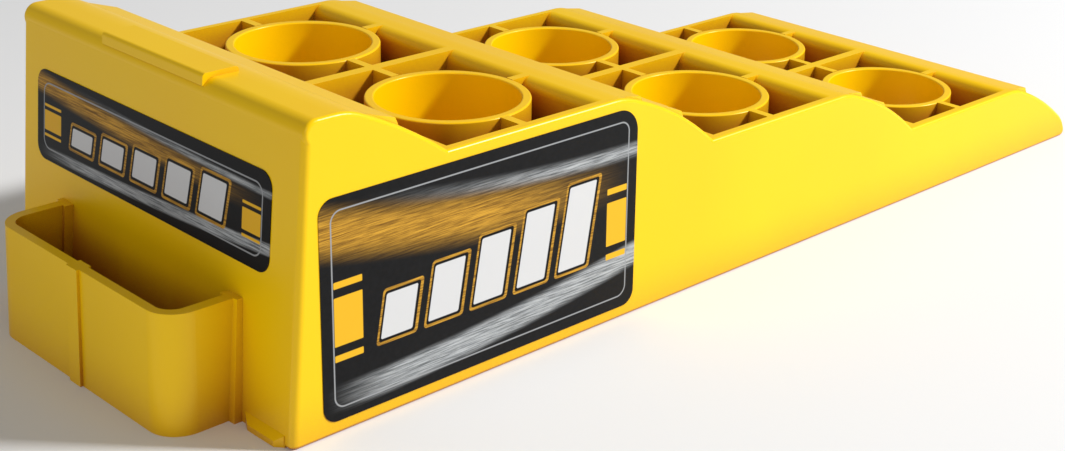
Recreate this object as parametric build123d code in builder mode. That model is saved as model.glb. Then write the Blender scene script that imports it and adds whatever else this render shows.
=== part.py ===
"""Ramp leveler: a stepped, hollow parking ramp with three wheel decks.

The real object is one injection moulding with two labels. Its walls, tops, rings and
webs are separate nodes here, which meet face to face. +X runs down the ramp from the
heel to the nose, +Y is the left-hand side and +Z is up. The origin is in the middle
of the footprint, on the ground.
"""

import os
from collections import namedtuple
from math import acos, atan, cos, degrees, radians, sin, sqrt

from build123d import *

# Driving dimensions, in millimetres. Lengths along the ramp start at the heel's foot.
BASE_WIDTH = 203.0
HEEL_HEIGHT = 127.2
DECK_HEIGHTS = (100.8, 68.8, 38.5)
DECK_NAMES = ("upper", "middle", "lower")
WALL = 4.6
SIDE_LEAN = 0.008          # inwards, per unit of height
HEEL_LEAN = 0.084          # towards the nose, per unit of height

# Cells and their rings
FIRST_CELL_X = 119.6
CELL_PITCH = 156.7
CELL_LENGTH = 80.0
RING_Y = 50.3
RING_RADIUS = 34.8
RING_WALL = 4.0
RING_EDGE = 0.7
CENTRE_WEB = 5.6
SHORT_WEB = 4.0

# Curved tops: a level stretch, a short roll, then a long fall to the next deck
HEEL_CORNER = 6.0
CELL_ROLL = 5.2
ROLL_RADIUS = 30.0
HEEL_LEVEL = 24.0
RISER_LEVEL = 9.3
NOSE_LEVEL = 5.2
HEEL_FALL = 211.0
RISER_FALL = 152.0
NOSE_FALL = 160.0
HEEL_SLOPE = radians(24)
RISER_SLOPE = radians(18)
NOSE_SLOPE = radians(20)
NOSE_FALL_SLOPE = radians(37.5)
TOE_SLOPE = radians(71)
TOE_RADIUS = 3.0

# Outer edges of the side walls
CORNER_EDGE = 3.0
TOP_EDGE = 1.6

# Grip ribs: the crest of each, from the start of its top, and how far it stands proud
RIB_LENGTH = 13.7
RIB_TOE = 1.5
RIB_ROOT = 1.0
RIB_SIDE_GAP = 3.0
HEEL_RIBS = ((53.5, 2.6),)
UPPER_RISER_RIBS = ((26.3, 1.7), (53.0, 2.6))
LOWER_RISER_RIBS = ((27.3, 1.9), (47.4, 2.0))
NOSE_RIBS = ((23.2, 2.6),)

# Raised pad on the heel's top edge
PAD_HALF_WIDTH = 36.0
PAD_BACK = 27.0
PAD_TOP = 129.2
PAD_FOOT = 124.4
PAD_EDGE = 1.6

# Lip along the foot of the heel
LIP_REACH = 2.6
LIP_HEIGHT = 5.0
LIP_OUTER_Y = 96.4
LIP_OUTER_SLANT = 3.0
LIP_INNER_Y = 71.5
LIP_INNER_SLANT = 5.0

# Handle: the loop's outside, and the beads that stiffen its front and its joints
HANDLE_RIM = 49.7
HANDLE_FRONT_RIM = 28.4
HANDLE_FRONT_FOOT = 30.3
HANDLE_HALF_RIM = 64.8
HANDLE_HALF_FOOT = 65.8
HANDLE_CORNER = 13.0
HANDLE_FRONT_WALL = 4.0
HANDLE_SIDE_WALL = 5.2
BEAD_WIDTH = 8.0
BEAD_PROUD = 1.2
JOINT_HALF_RIM = 66.8
JOINT_HALF_FOOT = 69.4
JOINT_REACH_RIM = 2.6
JOINT_REACH_FOOT = 3.6
JOINT_INNER_PROUD = 2.1
JOINT_INNER_REACH = 4.0

# Labels: a thin film on the right-hand side wall and on the heel
LABEL_FILM = 0.3
LABEL_CORNER = 6.6
LABEL_LOW_CORNER = 11.0
SIDE_LABEL_X = (14.8, 181.5)
SIDE_LABEL_Z = (5.6, 95.8)
HEEL_LABEL_Y = (-82.7, 87.1)
HEEL_LABEL_Z = (63.6, 103.3)

Top = namedtuple("Top", "x level height roll_slope fall foot")


def cell_x(index):
    """Rear edge, centre and front edge of a cell."""
    centre = FIRST_CELL_X + CELL_PITCH * index
    return centre - CELL_LENGTH / 2, centre, centre + CELL_LENGTH / 2


# The tops in order; x is where the top starts: the heel's foot or a cell's front edge
heel_top = Top(0, HEEL_LEVEL, HEEL_HEIGHT, HEEL_SLOPE, HEEL_FALL, DECK_HEIGHTS[0])
riser_tops = [
    Top(cell_x(index)[2], RISER_LEVEL, DECK_HEIGHTS[index], RISER_SLOPE, RISER_FALL,
        DECK_HEIGHTS[index + 1])
    for index in (0, 1)
]
nose_top = Top(cell_x(2)[2], NOSE_LEVEL, DECK_HEIGHTS[2], NOSE_SLOPE, NOSE_FALL, 0)


def swing(start, radius, slope_in, slope_out):
    """End of an arc that turns downhill from one slope to a steeper one."""
    run = radius * (sin(slope_out) - sin(slope_in))
    drop = radius * (cos(slope_in) - cos(slope_out))
    return start[0] + run, start[1] - drop


def draw_swing(start, radius, slope_in, slope_out):
    """Draw that arc in the line being built, and return its end."""
    middle = swing(start, radius, slope_in, (slope_in + slope_out) / 2)
    end = swing(start, radius, slope_in, slope_out)
    ThreePointArc(start, middle, end)
    return end


def roll_end(top, inset):
    """Where a top's short roll ends and its long fall begins."""
    start = (top.x + top.level, top.height - inset)
    return swing(start, ROLL_RADIUS - inset, 0, top.roll_slope)


def foot_slope(top, inset):
    """Slope at which a top's long fall meets the next deck."""
    drop = roll_end(top, inset)[1] - (top.foot - inset)
    return acos(cos(top.roll_slope) - drop / (top.fall - inset))


def draw_top(top, inset, slope_out):
    """Draw a top's roll and fall, inset from the outer surface, and return the end."""
    start = (top.x + top.level, top.height - inset)
    rolled = draw_swing(start, ROLL_RADIUS - inset, 0, top.roll_slope)
    return draw_swing(rolled, top.fall - inset, top.roll_slope, slope_out)


def height_at(top, x):
    """Height of a top's outer surface on its roll or its fall."""
    run = x - top.x - top.level
    rolled = roll_end(top, 0)
    if x < rolled[0]:
        return top.height - ROLL_RADIUS + sqrt(ROLL_RADIUS**2 - run**2)
    across = top.fall * sin(top.roll_slope) + x - rolled[0]
    return rolled[1] - top.fall * cos(top.roll_slope) + sqrt(top.fall**2 - across**2)


# Nose: the fall ends in a tighter arc and the rounded toe, which rests on the ground
nose_fall_end = swing(roll_end(nose_top, 0), NOSE_FALL, NOSE_SLOPE, NOSE_FALL_SLOPE)
toe_top_z = TOE_RADIUS * (1 + cos(TOE_SLOPE))
nose_end_radius = (nose_fall_end[1] - toe_top_z) / (cos(NOSE_FALL_SLOPE) - cos(TOE_SLOPE))
toe_start = swing(nose_fall_end, nose_end_radius, NOSE_FALL_SLOPE, TOE_SLOPE)
BODY_LENGTH = swing(toe_start, TOE_RADIUS, TOE_SLOPE, radians(90))[0]

# Frame: the footprint, from the handle's bead to the nose, is centred on the origin
heel_x = (HANDLE_FRONT_FOOT + BEAD_PROUD - BODY_LENGTH) / 2

# Leaning faces, with their own local axes: along the face, and up it
side_section = Plane((heel_x, 0, 0), x_dir=(1, 0, 0), z_dir=(0, -1, 0))
heel_face = Plane((heel_x, 0, 0), x_dir=(0, -1, 0), z_dir=(-1, 0, HEEL_LEAN))
right_face = Plane((heel_x, -BASE_WIDTH / 2, 0), x_dir=(1, 0, 0), z_dir=(0, -1, SIDE_LEAN))
cross_section = Plane((heel_x, 0, 0), x_dir=(0, 1, 0), z_dir=(1, 0, 0))

# Corner between the leaning heel wall and the level top
heel_stretch = sqrt(1 + HEEL_LEAN**2)
corner_z = HEEL_HEIGHT - HEEL_CORNER
corner_x = HEEL_LEAN * corner_z + HEEL_CORNER * heel_stretch
heel_angle = atan(HEEL_LEAN)


def corner_point(inset, turn):
    """Point of the heel's top corner; turn 0 is on the heel face, 1 on the level top."""
    angle = -heel_angle + turn * (radians(90) + heel_angle)
    radius = HEEL_CORNER - inset
    return corner_x - radius * cos(angle), corner_z + radius * sin(angle)


def draw_heel_corner(inset):
    """Draw the heel's top corner, inset from the outer surface."""
    ThreePointArc(corner_point(inset, 0), corner_point(inset, 0.5), corner_point(inset, 1))


def half_width(height, inset):
    """Half the ramp's width at a height, less an inset."""
    return BASE_WIDTH / 2 - SIDE_LEAN * height - inset


def between_walls(inset=WALL):
    """Corners of the space between the leaning side walls, seen from the heel."""
    low = half_width(0, inset)
    high = half_width(PAD_TOP, inset)
    return [(-low, 0), (low, 0), (high, PAD_TOP), (-high, PAD_TOP)]


def finish(builder, name):
    """Label a piece and write its STEP file."""
    builder.part.label = name
    export_step(builder.part, f"parts/{name}.step")


os.makedirs("parts", exist_ok=True)

# Side walls: a leaning slab, cut to the stepped profile
with BuildSketch(side_section) as side_profile:
    with BuildLine():
        Line((0, 0), corner_point(0, 0))
        draw_heel_corner(0)
        place = (heel_top.x + heel_top.level, heel_top.height)
        Line(corner_point(0, 1), place)
        place = draw_top(heel_top, 0, foot_slope(heel_top, 0))
        for top in riser_tops:
            Line(place, (top.x + top.level, top.height))
            place = draw_top(top, 0, foot_slope(top, 0))
        Line(place, (nose_top.x + nose_top.level, nose_top.height))
        place = draw_top(nose_top, 0, NOSE_FALL_SLOPE)
        place = draw_swing(place, nose_end_radius, NOSE_FALL_SLOPE, TOE_SLOPE)
        place = draw_swing(place, TOE_RADIUS, TOE_SLOPE, radians(180))
        Line(place, (0, 0))
    make_face()

with BuildPart() as right_side_wall:
    with BuildSketch(cross_section):
        with BuildLine():
            Polyline(
                (-half_width(0, 0), 0),
                (-half_width(0, WALL), 0),
                (-half_width(HEEL_HEIGHT, WALL), HEEL_HEIGHT),
                (-half_width(HEEL_HEIGHT, 0), HEEL_HEIGHT),
                close=True,
            )
        make_face()
    extrude(amount=BODY_LENGTH)
    extrude(side_profile.sketch, amount=BASE_WIDTH, both=True, mode=Mode.INTERSECT)
    outer_face = right_side_wall.faces().sort_by(Axis.Y)[0]
    corner_edge = outer_face.edges().sort_by(Axis.X)[0]
    fillet(corner_edge, CORNER_EDGE)
    outer_face = right_side_wall.faces().sort_by(Axis.Y)[0]
    fillet(outer_face.edges().filter_by(lambda edge: edge.center().Z > 1), TOP_EDGE)
finish(right_side_wall, "right_side_wall")

with BuildPart() as left_side_wall:
    mirror(right_side_wall.part, about=Plane.XZ)
finish(left_side_wall, "left_side_wall")

# Heel wall: between the side walls, up to the rounded corner
with BuildPart() as heel_wall:
    with BuildSketch(cross_section):
        Polygon(*between_walls(), align=None)
    extrude(amount=BODY_LENGTH)
    with BuildSketch(side_section):
        with BuildLine():
            Polyline(
                (0, 0),
                corner_point(0, 0),
                corner_point(WALL, 0),
                (WALL * heel_stretch, 0),
                close=True,
            )
        make_face()
    extrude(amount=BASE_WIDTH, both=True, mode=Mode.INTERSECT)
finish(heel_wall, "heel_wall")

# Heel crest: the rounded corner, the level top and the fall to the upper cell
with BuildPart() as heel_crest:
    with BuildSketch(cross_section):
        Polygon(*between_walls(), align=None)
    extrude(amount=BODY_LENGTH)
    with BuildSketch(side_section):
        with BuildLine():
            Line(corner_point(0, 0), corner_point(WALL, 0))
            for inset in (0, WALL):
                draw_heel_corner(inset)
                Line(corner_point(inset, 1), (HEEL_LEVEL, HEEL_HEIGHT - inset))
                place = draw_top(heel_top, inset, foot_slope(heel_top, inset))
                Line(place, (cell_x(0)[0], heel_top.foot - inset))
            Line((cell_x(0)[0], heel_top.foot), (cell_x(0)[0], heel_top.foot - WALL))
        make_face()
    extrude(amount=BASE_WIDTH, both=True, mode=Mode.INTERSECT)
finish(heel_crest, "heel_crest")

# Risers: rolled over at the cell's front edge, then level, then down to the next deck
risers = []
for index, name in enumerate(("upper_riser", "lower_riser")):
    top = riser_tops[index]
    next_cell = cell_x(index + 1)[0]
    with BuildPart() as riser:
        with BuildSketch(cross_section):
            Polygon(*between_walls(), align=None)
        extrude(amount=BODY_LENGTH)
        with BuildSketch(side_section):
            with BuildLine():
                Line((top.x, top.height - CELL_ROLL), (top.x + WALL, top.height - CELL_ROLL))
                for inset in (0, WALL):
                    edge = (top.x + inset, top.height - CELL_ROLL)
                    crown = (top.x + CELL_ROLL, top.height - inset)
                    RadiusArc(edge, crown, CELL_ROLL - inset)
                    Line(crown, (top.x + top.level, top.height - inset))
                    place = draw_top(top, inset, foot_slope(top, inset))
                    Line(place, (next_cell, top.foot - inset))
                Line((next_cell, top.foot), (next_cell, top.foot - WALL))
            make_face()
        extrude(amount=BASE_WIDTH, both=True, mode=Mode.INTERSECT)
    finish(riser, name)
    risers.append(riser)

# Nose: rolled over at the lower cell, then down to the solid toe
with BuildPart() as nose:
    with BuildSketch(cross_section):
        Polygon(*between_walls(), align=None)
    extrude(amount=BODY_LENGTH)
    with BuildSketch(side_section):
        with BuildLine():
            edge_z = nose_top.height - CELL_ROLL
            Line((nose_top.x, edge_z), (nose_top.x + WALL, edge_z))
            for inset in (0, WALL):
                crown = (nose_top.x + CELL_ROLL, nose_top.height - inset)
                RadiusArc((nose_top.x + inset, edge_z), crown, CELL_ROLL - inset)
                place = draw_top(nose_top, inset, NOSE_FALL_SLOPE)
            toe_back = place[0]
            place = draw_swing(nose_fall_end, nose_end_radius, NOSE_FALL_SLOPE, TOE_SLOPE)
            place = draw_swing(place, TOE_RADIUS, TOE_SLOPE, radians(180))
            nose_inner = swing(
                roll_end(nose_top, WALL), NOSE_FALL - WALL, NOSE_SLOPE, NOSE_FALL_SLOPE
            )
            Polyline(place, (toe_back, 0), nose_inner)
        make_face()
    extrude(amount=BASE_WIDTH, both=True, mode=Mode.INTERSECT)
finish(nose, "nose")

# Grip ribs: wedges that rise downhill to a crest, and end in a short sloping toe
rib_sets = (
    ("heel_grip_rib", heel_top, HEEL_RIBS, heel_crest),
    ("upper_riser_grip_ribs", riser_tops[0], UPPER_RISER_RIBS, risers[0]),
    ("lower_riser_grip_ribs", riser_tops[1], LOWER_RISER_RIBS, risers[1]),
    ("nose_grip_ribs", nose_top, NOSE_RIBS, nose),
)
for name, top, places, carrier in rib_sets:
    with BuildPart() as ribs:
        for along, proud in places:
            edge = top.x + along
            back = edge - RIB_LENGTH
            toe = edge + RIB_TOE
            with BuildSketch(side_section):
                Polygon(
                    (back, height_at(top, back)),
                    (edge, height_at(top, edge) + proud),
                    (toe, height_at(top, toe)),
                    (edge, height_at(top, edge) - RIB_ROOT),
                    align=None,
                )
            extrude(amount=half_width(top.height, RIB_SIDE_GAP), both=True)
        for other in (carrier, right_side_wall, left_side_wall):
            add(other.part, mode=Mode.SUBTRACT)
    finish(ribs, name)

# Raised pad on the heel's top edge, with a squared front above the rounded corner
with BuildPart() as heel_pad:
    with BuildSketch(side_section):
        Polygon(
            (HEEL_LEAN * PAD_FOOT, PAD_FOOT),
            (HEEL_LEAN * PAD_TOP, PAD_TOP),
            (PAD_BACK, PAD_TOP),
            (PAD_BACK, PAD_FOOT),
            align=None,
        )
    extrude(amount=PAD_HALF_WIDTH, both=True)
    fillet(heel_pad.edges().filter_by(Axis.Y).group_by(Axis.Z)[-1], PAD_EDGE)
    add(heel_crest.part, mode=Mode.SUBTRACT)
finish(heel_pad, "heel_pad")

# Lip along the heel's foot: a low step with a sloping top, on each side of the handle
with BuildPart() as heel_toe_lip:
    with BuildSketch(Plane((heel_x, 0, 0), x_dir=(1, 0, 0), z_dir=(0, 0, 1))):
        for side in (-1, 1):
            Polygon(
                (0, side * LIP_OUTER_Y),
                (-LIP_REACH, side * (LIP_OUTER_Y - LIP_OUTER_SLANT)),
                (-LIP_REACH, side * (LIP_INNER_Y + LIP_INNER_SLANT)),
                (0, side * LIP_INNER_Y),
                (LIP_HEIGHT * HEEL_LEAN, side * LIP_INNER_Y),
                (LIP_HEIGHT * HEEL_LEAN, side * LIP_OUTER_Y),
                align=None,
            )
    extrude(amount=LIP_HEIGHT)
    with BuildSketch(side_section):
        Polygon(
            (-LIP_REACH, 0),
            (0, 0),
            (LIP_HEIGHT * HEEL_LEAN, LIP_HEIGHT),
            (-LIP_REACH, LIP_HEIGHT / 2),
            align=None,
        )
    extrude(amount=BASE_WIDTH, both=True, mode=Mode.INTERSECT)
finish(heel_toe_lip, "heel_toe_lip")

# Cells: cross walls, centre web, two rings and their short webs
for index, deck_name in enumerate(DECK_NAMES):
    rear, middle, front = cell_x(index)
    deck = DECK_HEIGHTS[index]

    with BuildPart() as rear_wall:
        with BuildSketch(cross_section):
            Polygon(*between_walls(), align=None)
        extrude(amount=BODY_LENGTH)
        with BuildSketch(side_section):
            Polygon(
                (rear - WALL, 0),
                (rear, 0),
                (rear, deck - WALL),
                (rear - WALL, deck - WALL),
                align=None,
            )
        extrude(amount=BASE_WIDTH, both=True, mode=Mode.INTERSECT)
    finish(rear_wall, f"{deck_name}_cell_rear_wall")

    with BuildPart() as front_wall:
        with BuildSketch(cross_section):
            Polygon(*between_walls(), align=None)
        extrude(amount=BODY_LENGTH)
        with BuildSketch(side_section):
            Polygon(
                (front, 0),
                (front + WALL, 0),
                (front + WALL, deck - CELL_ROLL),
                (front, deck - CELL_ROLL),
                align=None,
            )
        extrude(amount=BASE_WIDTH, both=True, mode=Mode.INTERSECT)
    finish(front_wall, f"{deck_name}_cell_front_wall")

    # Webs that run along the ramp follow the roll at the cell's front edge
    with BuildSketch(side_section) as long_web_profile:
        with BuildLine():
            Polyline(
                (front, deck - CELL_ROLL),
                (front, 0),
                (rear, 0),
                (rear, deck),
                (front + CELL_ROLL, deck),
            )
            RadiusArc((front, deck - CELL_ROLL), (front + CELL_ROLL, deck), CELL_ROLL)
        make_face()

    with BuildPart() as centre_web:
        extrude(long_web_profile.sketch, amount=CENTRE_WEB / 2, both=True)
    finish(centre_web, f"{deck_name}_centre_web")

    for side, side_name in ((-1, "right"), (1, "left")):
        ring_place = (heel_x + middle, side * RING_Y)
        with BuildPart() as ring:
            with BuildSketch():
                with Locations(ring_place):
                    Circle(RING_RADIUS)
                    Circle(RING_RADIUS - RING_WALL, mode=Mode.SUBTRACT)
            extrude(amount=deck)
            fillet(ring.edges().group_by(Axis.Z)[-1], RING_EDGE)
        finish(ring, f"{deck_name}_ring_{side_name}")

        with BuildPart() as ring_webs:
            extrude(long_web_profile.sketch.moved(Location((0, side * RING_Y, 0))),
                    amount=SHORT_WEB / 2, both=True)
            web_reach = half_width(deck, WALL / 2)
            with BuildSketch():
                with Locations((heel_x + middle, side * web_reach / 2)):
                    Rectangle(SHORT_WEB, web_reach)
            extrude(amount=deck)
            with BuildSketch():
                with Locations(ring_place):
                    Circle(RING_RADIUS)
            extrude(amount=deck, mode=Mode.SUBTRACT)
            for other in (centre_web, right_side_wall, left_side_wall):
                add(other.part, mode=Mode.SUBTRACT)
        finish(ring_webs, f"{deck_name}_ring_{side_name}_webs")

# Support ribs below the curved tops, in line with the centre webs and the rings
support_sets = (
    ("heel_support_ribs", heel_top, (WALL * heel_stretch, 0), cell_x(0)[0]),
    ("upper_riser_support_ribs", riser_tops[0], (riser_tops[0].x + WALL, 0), cell_x(1)[0]),
    ("lower_riser_support_ribs", riser_tops[1], (riser_tops[1].x + WALL, 0), cell_x(2)[0]),
    ("nose_support_ribs", nose_top, (nose_top.x + WALL, 0), None),
)
for name, top, foot, next_cell in support_sets:
    with BuildPart() as support:
        with BuildSketch(side_section) as rib_profile:
            with BuildLine():
                start = (top.x + top.level, top.height - WALL)
                if top is heel_top:
                    Line(foot, corner_point(WALL, 0))
                    draw_heel_corner(WALL)
                    Line(corner_point(WALL, 1), start)
                else:
                    edge = (foot[0], top.height - CELL_ROLL)
                    crown = (top.x + CELL_ROLL, top.height - WALL)
                    Line(foot, edge)
                    RadiusArc(edge, crown, CELL_ROLL - WALL)
                    if top is not nose_top:
                        Line(crown, start)
                if top is nose_top:
                    place = draw_top(top, WALL, NOSE_FALL_SLOPE)
                    Polyline(place, (place[0], 0), foot)
                else:
                    place = draw_top(top, WALL, foot_slope(top, WALL))
                    back = next_cell - WALL
                    Polyline(place, (back, top.foot - WALL), (back, 0), foot)
            make_face()
        extrude(amount=CENTRE_WEB / 2, both=True)
        for side in (-1, 1):
            extrude(rib_profile.sketch.moved(Location((0, side * RING_Y, 0))),
                    amount=SHORT_WEB / 2, both=True)
    finish(support, name)

# Handle: a loop of wall round the grip gap, joined to the heel by thicker beads


def between(foot, rim, height):
    """A size that changes evenly from the handle's foot to its rim."""
    return foot + (rim - foot) * height / HANDLE_RIM


def handle_outlines(side_inset, front_inset, heights):
    """Outlines of the handle, inset from outside, each running back into the heel."""
    outlines = []
    for height in heights:
        front = between(HANDLE_FRONT_FOOT, HANDLE_FRONT_RIM, height) - front_inset
        half = between(HANDLE_HALF_FOOT, HANDLE_HALF_RIM, height) - side_inset
        with BuildSketch(Plane.XY.offset(height)) as outline:
            with Locations((heel_x - front + HANDLE_FRONT_FOOT, 0)):
                RectangleRounded(2 * HANDLE_FRONT_FOOT, 2 * half, HANDLE_CORNER - side_inset)
        outlines.append(outline.sketch)
    return outlines


def joint_outlines(side):
    """Outlines of the bead that thickens the handle's wall beside the heel."""
    outlines = []
    for height in (0, HANDLE_RIM):
        face = heel_x + HEEL_LEAN * height
        reach = between(JOINT_REACH_FOOT, JOINT_REACH_RIM, height)
        outer = between(JOINT_HALF_FOOT, JOINT_HALF_RIM, height)
        wall = between(HANDLE_HALF_FOOT, HANDLE_HALF_RIM, height) - HANDLE_SIDE_WALL
        inner = wall - JOINT_INNER_PROUD
        with BuildSketch(Plane.XY.offset(height)) as outline:
            Polygon(
                (face - reach, side * outer),
                (face - JOINT_INNER_REACH, side * inner),
                (face + WALL, side * inner),
                (face + WALL, side * outer),
                align=None,
            )
        outlines.append(outline.sketch)
    return outlines


with BuildPart() as handle_loop:
    loft(handle_outlines(0, 0, (0, HANDLE_RIM)))
    gap_heights = (-HANDLE_FRONT_WALL, HANDLE_RIM + HANDLE_FRONT_WALL)
    gap_outlines = handle_outlines(HANDLE_SIDE_WALL, HANDLE_FRONT_WALL, gap_heights)
    loft(gap_outlines, mode=Mode.SUBTRACT)
    with BuildSketch(side_section):
        bead = HANDLE_FRONT_WALL + 2 * BEAD_PROUD
        Polygon(
            (-HANDLE_FRONT_FOOT - BEAD_PROUD, 0),
            (-HANDLE_FRONT_FOOT - BEAD_PROUD + bead, 0),
            (-HANDLE_FRONT_RIM - BEAD_PROUD + bead, HANDLE_RIM),
            (-HANDLE_FRONT_RIM - BEAD_PROUD, HANDLE_RIM),
            align=None,
        )
    extrude(amount=BEAD_WIDTH / 2, both=True)
    for side in (-1, 1):
        loft(joint_outlines(side))
    split(bisect_by=heel_face, keep=Keep.TOP)
finish(handle_loop, "handle_loop")

# Labels: thin films with rounded corners on the side wall and on the heel
with BuildPart() as side_label:
    with BuildSketch(right_face) as film:
        width = SIDE_LABEL_X[1] - SIDE_LABEL_X[0]
        height = SIDE_LABEL_Z[1] - SIDE_LABEL_Z[0]
        with Locations((sum(SIDE_LABEL_X) / 2, sum(SIDE_LABEL_Z) / 2)):
            Rectangle(width, height)
        corners = film.vertices().sort_by(lambda corner: corner.X - corner.Z)
        fillet(corners[:-1], LABEL_CORNER)
        low_corner = film.vertices().sort_by(lambda corner: corner.X - corner.Z)[-1]
        fillet(low_corner, LABEL_LOW_CORNER)
    extrude(amount=LABEL_FILM)
finish(side_label, "side_label")

with BuildPart() as heel_label:
    with BuildSketch(heel_face):
        width = HEEL_LABEL_Y[1] - HEEL_LABEL_Y[0]
        height = HEEL_LABEL_Z[1] - HEEL_LABEL_Z[0]
        with Locations((-sum(HEEL_LABEL_Y) / 2, sum(HEEL_LABEL_Z) / 2)):
            RectangleRounded(width, height, LABEL_CORNER)
    extrude(amount=LABEL_FILM)
finish(heel_label, "heel_label")
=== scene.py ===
"""Looks of the ramp leveler: one yellow moulding with a loop handle, and two labels.

Metres, in the frame of the CAD model: +X runs down the ramp, +Y is its left-hand
side and +Z is up.
"""

from math import cos, sin

import bpy
from mathutils import Matrix, Vector


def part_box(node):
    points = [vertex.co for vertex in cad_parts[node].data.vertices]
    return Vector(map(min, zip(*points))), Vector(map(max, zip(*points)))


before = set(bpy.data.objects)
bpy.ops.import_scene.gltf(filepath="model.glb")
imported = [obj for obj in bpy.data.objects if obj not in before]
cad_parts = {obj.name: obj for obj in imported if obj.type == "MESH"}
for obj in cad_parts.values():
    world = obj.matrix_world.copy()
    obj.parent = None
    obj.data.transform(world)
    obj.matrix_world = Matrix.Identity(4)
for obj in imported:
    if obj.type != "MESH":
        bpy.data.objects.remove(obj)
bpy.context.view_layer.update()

MM = 0.001

# Plastic, as linear colours, the painted-shade brown, and how near other surfaces must be for the
# painted shade to turn a recess brown
YELLOW_LOW = (1.0, 0.59, 0.0)
YELLOW_HIGH = (1.0, 0.625, 0.0)
PAINTED_SHADE_BROWN = (0.42, 0.12, 0.012)
PAINTED_SHADE_REACH = 45 * MM
PLASTIC_GLOSS = 0.24       # roughness before flow marks and grain
GRAIN_DEPTH = 0.05 * MM

# Printing inks, as linear colours
BLACK = (0.004, 0.004, 0.004)
BLACK_SHEEN = (0.010, 0.010, 0.011)
SILVER_DARK = (0.10, 0.11, 0.115)
SILVER_LIGHT = (0.55, 0.57, 0.58)
GOLD_DARK = (0.16, 0.07, 0.008)
GOLD_LIGHT = (0.72, 0.38, 0.04)
BLOCK_GOLD = (0.83, 0.46, 0.02)
BAR_WHITE = (0.66, 0.66, 0.66)
KEYLINE_GREY = (0.33, 0.34, 0.35)

# Label layout: shares of the label's width or height, unless marked as millimetres
SOFT_EDGE = 0.18           # mm
KEYLINE = 0.6              # mm
KEYLINE_CORNER = 5.0       # mm
KEYLINE_INSET = 0.03
BARS = 5
FIRST_BAR = 0.165
BAR_PITCH = 0.14
BAR_SHARE = 0.66           # of the pitch
BAR_FOOT = 0.30
BAR_HEIGHT = 0.20
BAR_STEP = 0.05
BAR_SLANT = 0.18
OUTLINE = 0.014
END_BLOCKS_ACROSS = ((0.035, 0.115), (0.895, 0.965))
END_BLOCKS_UP = ((0.34, 0.56), (0.60, 0.63), (0.27, 0.30))

# Camera: its place from the heel's foot, in metres, and its turn, in radians
CAMERA_PLACE = (-339.24 * MM, -585.24 * MM, 336.41 * MM)
CAMERA_YAW = 0.7863
CAMERA_PITCH = -0.3379
CAMERA_ROLL = 0.0263


# ---------------------------------------------------------------- shader fields
class Field:
    """A value in a node tree that takes Python's own arithmetic."""

    def __init__(self, tree, socket):
        self.tree = tree
        self.socket = socket

    def maths(self, operation, *values):
        node = self.tree.nodes.new("ShaderNodeMath")
        node.operation = operation
        for slot, value in enumerate((self, *values)):
            if isinstance(value, Field):
                self.tree.links.new(value.socket, node.inputs[slot])
            else:
                node.inputs[slot].default_value = value
        return Field(self.tree, node.outputs[0])

    def __add__(self, other):
        return self.maths("ADD", other)

    def __sub__(self, other):
        return self.maths("SUBTRACT", other)

    def __mul__(self, other):
        return self.maths("MULTIPLY", other)

    def __truediv__(self, other):
        return self.maths("DIVIDE", other)

    def lowest(self, other):
        return self.maths("MINIMUM", other)

    def highest(self, other):
        return self.maths("MAXIMUM", other)

    def size(self):
        return self.maths("ABSOLUTE")

    def power(self, exponent):
        return self.maths("POWER", exponent)

    def inverse(self):
        return self * -1 + 1

    def ramp(self, low, high):
        """0 at low and 1 at high, eased in between."""
        node = self.tree.nodes.new("ShaderNodeMapRange")
        node.interpolation_type = "SMOOTHSTEP"
        self.tree.links.new(self.socket, node.inputs["Value"])
        node.inputs["From Min"].default_value = low
        node.inputs["From Max"].default_value = high
        return Field(self.tree, node.outputs[0])


def new_material(name):
    """A material with nodes, its tree and its main shader."""
    material = bpy.data.materials.new(name)
    material.use_nodes = True
    tree = material.node_tree
    return material, tree, tree.nodes["Principled BSDF"]


def place_fields(tree):
    """X, Y and Z of the shaded point, in millimetres in the row frame."""
    place = tree.nodes.new("ShaderNodeTexCoord")
    parts = tree.nodes.new("ShaderNodeSeparateXYZ")
    tree.links.new(place.outputs["Object"], parts.inputs[0])
    return [Field(tree, output) * (1 / MM) for output in parts.outputs]


def noise(tree, scale, detail=2.0, stretch=(1, 1, 1), coarseness=0.5):
    """Noise from 0 to 1 with features of about 1/scale metres."""
    place = tree.nodes.new("ShaderNodeTexCoord")
    mapping = tree.nodes.new("ShaderNodeMapping")
    mapping.inputs["Scale"].default_value = stretch
    texture = tree.nodes.new("ShaderNodeTexNoise")
    texture.inputs["Scale"].default_value = scale
    texture.inputs["Detail"].default_value = detail
    texture.inputs["Roughness"].default_value = coarseness
    tree.links.new(place.outputs["Object"], mapping.inputs["Vector"])
    tree.links.new(mapping.outputs[0], texture.inputs["Vector"])
    return Field(tree, texture.outputs["Fac"])


def blend(tree, factor, low, high):
    """A colour mixed from low to high; either may be a colour or a socket."""
    node = tree.nodes.new("ShaderNodeMix")
    node.data_type = "RGBA"
    tree.links.new(factor.socket, node.inputs["Factor"])
    for slot, colour in ((6, low), (7, high)):
        if isinstance(colour, tuple):
            node.inputs[slot].default_value = (*colour, 1)
        else:
            tree.links.new(colour, node.inputs[slot])
    return node.outputs[2]


def add_bump(tree, shader, height, strength, distance):
    """Small relief in the shader's normal."""
    bump = tree.nodes.new("ShaderNodeBump")
    bump.inputs["Strength"].default_value = strength
    bump.inputs["Distance"].default_value = distance
    tree.links.new(height.socket, bump.inputs["Height"])
    tree.links.new(bump.outputs[0], shader.inputs["Normal"])


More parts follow.
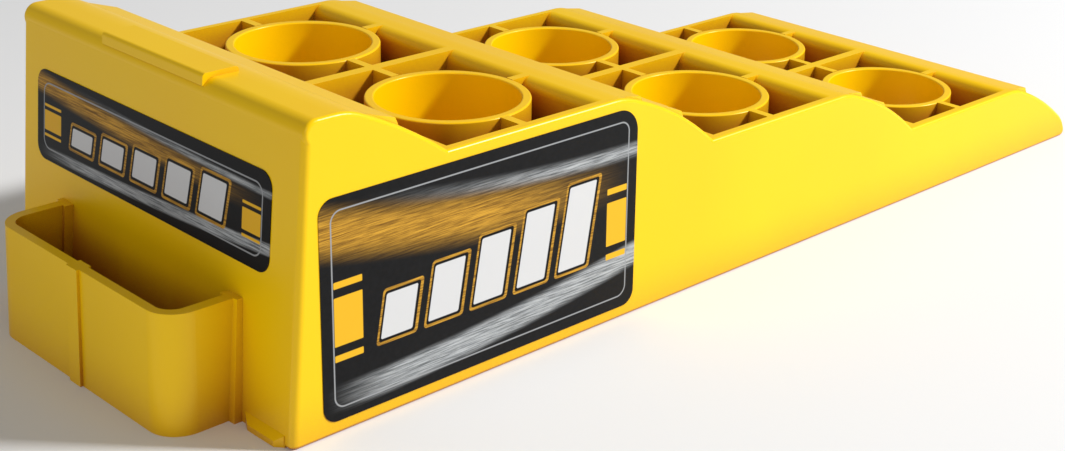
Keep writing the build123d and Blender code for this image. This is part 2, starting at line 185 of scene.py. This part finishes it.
# ---------------------------------------------------------------- moulding
def moulding_material():
    """Bright yellow moulded plastic: soft gloss, faint flow marks, and painted shade that browns
    the recesses.
    """
    material, tree, shader = new_material("moulded_yellow_plastic")
    flow = noise(tree, 9, detail=3, stretch=(1, 1, 0.4))
    grain = noise(tree, 900, detail=2)
    tone = flow.ramp(0.3, 0.7)
    open_tone = blend(tree, tone, YELLOW_LOW, YELLOW_HIGH)
    # Painted shade: ambient occlusion browns the base colour where other surfaces are near,
    # standing in for the shade in the cells
    shade_occlusion = tree.nodes.new("ShaderNodeAmbientOcclusion")
    shade_occlusion.samples = 6
    shade_occlusion.inputs["Distance"].default_value = PAINTED_SHADE_REACH
    openness = Field(tree, shade_occlusion.outputs["AO"]).ramp(0.12, 0.74)
    colour = blend(tree, openness, PAINTED_SHADE_BROWN, open_tone)
    tree.links.new(colour, shader.inputs["Base Color"])
    gloss = flow * 0.08 + grain * 0.06 + PLASTIC_GLOSS
    tree.links.new(gloss.socket, shader.inputs["Roughness"])
    shader.inputs["IOR"].default_value = 1.45
    shader.inputs["Specular IOR Level"].default_value = 0.35
    add_bump(tree, shader, grain + flow * 2, 0.25, GRAIN_DEPTH)
    return material


# ---------------------------------------------------------------- labels
def inside_block(across, up, left, right, low, high, corner, slant=0.0):
    """1 inside a rounded block whose sides lean by slant, and 0 outside it."""
    leaned = across - (up - low) * slant
    out_x = (leaned - (left + right) / 2).size() - ((right - left) / 2 - corner)
    out_y = (up - (low + high) / 2).size() - ((high - low) / 2 - corner)
    far_x = out_x.highest(0)
    far_y = out_y.highest(0)
    away = (far_x * far_x + far_y * far_y).power(0.5)
    within = out_x.highest(out_y).lowest(0)
    return (away + within).ramp(corner + SOFT_EDGE, corner - SOFT_EDGE)


def label_material(name, across_of, width, low, high):
    """Black vinyl with brushed silver and gold bands and a row of rising bars.

    across_of works out how far along the label a point is, from its X and Y.
    """
    material, tree, shader = new_material(name)
    x, y, up_raw = place_fields(tree)
    across = across_of(x, y)
    up = up_raw - low
    tall = high - low
    share = across / width

    # Ground: near black, with a faint sheen in the film
    film = noise(tree, 500, detail=2)
    colour = blend(tree, film, BLACK, BLACK_SHEEN)

    # Brushed bands: silver sweeps up along the foot, gold crosses above it
    brush = noise(tree, 60, detail=6, stretch=(1, 1, 26), coarseness=0.7)
    silver = blend(tree, brush.ramp(0.3, 0.7), SILVER_DARK, SILVER_LIGHT)
    gold = blend(tree, brush.ramp(0.3, 0.7), GOLD_DARK, GOLD_LIGHT)
    foot = share * share * (0.16 * tall) + 0.10 * tall
    silver_band = (up - foot).size().ramp(0.075 * tall, 0.035 * tall)
    colour = blend(tree, silver_band * share.ramp(0.0, 0.25), colour, silver)
    crest = share.inverse() * share.inverse() * (0.20 * tall) + 0.66 * tall
    gold_band = (up - crest).size().ramp(0.15 * tall, 0.02 * tall)
    colour = blend(tree, gold_band * share.ramp(1.0, 0.45), colour, gold)
    glint = (up - crest - 0.13 * tall).size().ramp(0.05 * tall, 0.0)
    colour = blend(tree, glint * share.ramp(0.1, 0.9), colour, silver)

    # Rising bars: white, then a black gap, then a gold outline
    pitch = BAR_PITCH * width
    edge = OUTLINE * width
    for number in range(BARS):
        left = FIRST_BAR * width + number * pitch
        right = left + BAR_SHARE * pitch
        base = BAR_FOOT * tall
        head = base + tall * (BAR_HEIGHT + BAR_STEP * number)
        for grow, corner, ink in ((edge, 1.6, gold), (edge / 2, 1.2, BLACK), (0, 0.8, BAR_WHITE)):
            shape = inside_block(across, up, left - grow, right + grow, base - grow,
                                 head + grow, corner, BAR_SLANT)
            colour = blend(tree, shape, colour, ink)

    # Gold blocks at both ends
    for left, right in END_BLOCKS_ACROSS:
        for base, head in END_BLOCKS_UP:
            block = inside_block(across, up, left * width, right * width, base * tall,
                                 head * tall, 0.4)
            colour = blend(tree, block, colour, BLOCK_GOLD)

    # Keyline inside the edge
    inset = KEYLINE_INSET * width
    inner_inset = inset + KEYLINE
    outer = inside_block(across, up, inset, width - inset, inset, tall - inset,
                         KEYLINE_CORNER)
    inner = inside_block(across, up, inner_inset, width - inner_inset, inner_inset,
                         tall - inner_inset, KEYLINE_CORNER - KEYLINE)
    colour = blend(tree, outer - inner, colour, KEYLINE_GREY)

    tree.links.new(colour, shader.inputs["Base Color"])
    tree.links.new((film * 0.1 + 0.32).socket, shader.inputs["Roughness"])
    shader.inputs["Specular IOR Level"].default_value = 0.12
    return material


side_low, side_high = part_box("side_label")
heel_low, heel_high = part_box("heel_label")
yellow = moulding_material()
prints = {
    "side_label": label_material(
        "side_label_print",
        lambda x, y: x - side_low[0] / MM,
        (side_high[0] - side_low[0]) / MM,
        side_low[2] / MM,
        side_high[2] / MM,
    ),
    "heel_label": label_material(
        "heel_label_print",
        lambda x, y: y * -1 + heel_high[1] / MM,
        (heel_high[1] - heel_low[1]) / MM,
        heel_low[2] / MM,
        heel_high[2] / MM,
    ),
}
for name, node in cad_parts.items():
    for slot in node.material_slots:
        slot.material = prints.get(name, yellow)


# ---------------------------------------------------------------- stage
def floor():
    """A plain pale floor."""
    bpy.ops.mesh.primitive_plane_add(size=14)
    plane = bpy.context.object
    plane.name = "floor"
    material, _, shader = new_material("pale_floor")
    shader.inputs["Base Color"].default_value = (0.86, 0.86, 0.86, 1)
    shader.inputs["Roughness"].default_value = 0.9
    shader.inputs["Specular IOR Level"].default_value = 0.1
    plane.data.materials.append(material)


def lamp(name, place, size, strength):
    """A square soft light that faces the ramp."""
    light = bpy.data.lights.new(name, "AREA")
    light.size = size
    light.energy = strength
    lamp_object = bpy.data.objects.new(name, light)
    lamp_object.location = place
    aim = Vector((0, 0, 0.05)) - Vector(place)
    lamp_object.rotation_euler = aim.to_track_quat("-Z", "Y").to_euler()
    bpy.context.collection.objects.link(lamp_object)


def sky():
    """Even studio light from all round."""
    world = bpy.data.worlds.new("studio")
    bpy.context.scene.world = world
    world.use_nodes = True
    background = world.node_tree.nodes["Background"]
    background.inputs["Color"].default_value = (1, 1, 1, 1)
    background.inputs["Strength"].default_value = 0.26


def camera():
    """The camera, low over the heel's right-hand corner."""
    level = cos(CAMERA_PITCH)
    ahead = Vector((level * cos(CAMERA_YAW), level * sin(CAMERA_YAW), sin(CAMERA_PITCH)))
    right = Vector((sin(CAMERA_YAW), -cos(CAMERA_YAW), 0))
    up = right.cross(ahead)
    across = cos(CAMERA_ROLL) * right + sin(CAMERA_ROLL) * up
    upright = cos(CAMERA_ROLL) * up - sin(CAMERA_ROLL) * right
    lens = bpy.data.cameras.new("camera")
    lens.sensor_fit = "HORIZONTAL"
    lens.sensor_width = 36
    lens.lens = 60.26
    lens.shift_x = -0.0404
    lens.shift_y = -0.0950
    camera_object = bpy.data.objects.new("camera", lens)
    turn = Matrix((across, upright, -ahead)).transposed().to_4x4()
    heel_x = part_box("right_side_wall")[0][0]
    place = Vector((heel_x, 0, 0)) + Vector(CAMERA_PLACE)
    camera_object.matrix_world = Matrix.Translation(place) @ turn
    bpy.context.collection.objects.link(camera_object)
    bpy.context.scene.camera = camera_object


floor()
sky()
lamp("key", (1.55, -1.65, 1.75), 0.3, 92)
lamp("fill", (-2.6, -1.2, 1.3), 1.6, 13)
camera()
bpy.context.scene.view_settings.view_transform = "Standard"
